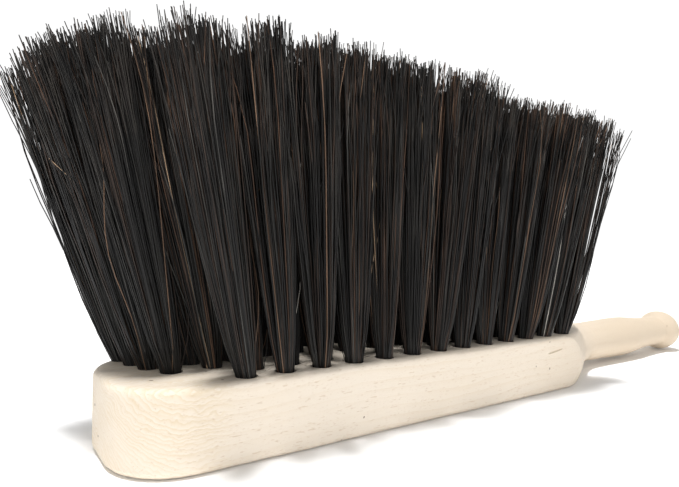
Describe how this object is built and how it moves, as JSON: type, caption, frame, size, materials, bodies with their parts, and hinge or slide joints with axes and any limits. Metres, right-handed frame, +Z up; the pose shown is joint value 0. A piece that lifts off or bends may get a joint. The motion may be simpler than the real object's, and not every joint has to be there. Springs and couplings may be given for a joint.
{
  "type": "pastry brush",
  "caption": "Baker's bench brush: one-piece beech head and turned handle with a knob, and rows of long dark bristle tufts that fan out above the head.",
  "frame": {"origin": "middle of the flat back under the head, on the face that the brush rests on", "axes": "+X from the round near end towards the handle and knob, +Y across the width, +Z up along the bristles, out of the drilled face"},
  "size_m": [0.3014, 0.0644, 0.1036],
  "materials": {
    "beech": "matt, bare, hand-sanded beech with fine flecks",
    "hair": "satin dark bristle, black to dark brown with a few pale hairs"
  },
  "bodies": {
    "root": {"beech_body": "beech", "tuft_row_1_01": "hair", "tuft_row_1_02": "hair", "tuft_row_1_03": "hair", "tuft_row_1_04": "hair", "tuft_row_1_05": "hair", "tuft_row_1_06": "hair", "tuft_row_1_07": "hair", "tuft_row_1_08": "hair", "tuft_row_1_09": "hair", "tuft_row_1_10": "hair", "tuft_row_1_11": "hair", "tuft_row_1_12": "hair", "tuft_row_1_13": "hair", "tuft_row_3_01": "hair", "tuft_row_3_02": "hair", "tuft_row_4_01": "hair", "tuft_row_5_01": "hair", "tuft_row_5_02": "hair", "tuft_row_6_01": "hair", "tuft_row_6_02": "hair", "tuft_row_6_03": "hair", "tuft_row_6_04": "hair", "tuft_row_6_05": "hair", "tuft_row_6_06": "hair", "tuft_row_6_07": "hair", "tuft_row_6_08": "hair", "tuft_row_6_09": "hair", "tuft_row_6_10": "hair", "tuft_row_6_11": "hair", "tuft_row_6_12": "hair", "tuft_row_6_13": "hair", "tuft_row_6_14": "hair", "tuft_row_6_15": "hair", "tufts_rows_2_3_01": "hair", "tufts_rows_2_3_02": "hair", "tufts_rows_2_3_03": "hair", "tufts_rows_2_3_04": "hair", "tufts_rows_2_3_05": "hair", "tufts_rows_2_3_06": "hair", "tufts_rows_2_3_07": "hair", "tufts_rows_2_3_08": "hair", "tufts_rows_2_3_09": "hair", "tufts_rows_2_3_10": "hair", "tufts_rows_2_3_11": "hair", "tufts_rows_2_3_12": "hair", "tufts_rows_4_5_01": "hair", "tufts_rows_4_5_02": "hair", "tufts_rows_4_5_03": "hair", "tufts_rows_4_5_04": "hair", "tufts_rows_4_5_05": "hair", "tufts_rows_4_5_06": "hair", "tufts_rows_4_5_07": "hair", "tufts_rows_4_5_08": "hair", "tufts_rows_4_5_09": "hair", "tufts_rows_4_5_10": "hair", "tufts_rows_4_5_11": "hair", "tufts_rows_4_5_12": "hair", "tufts_rows_4_5_13": "hair"}
  },
  "joints": []
}
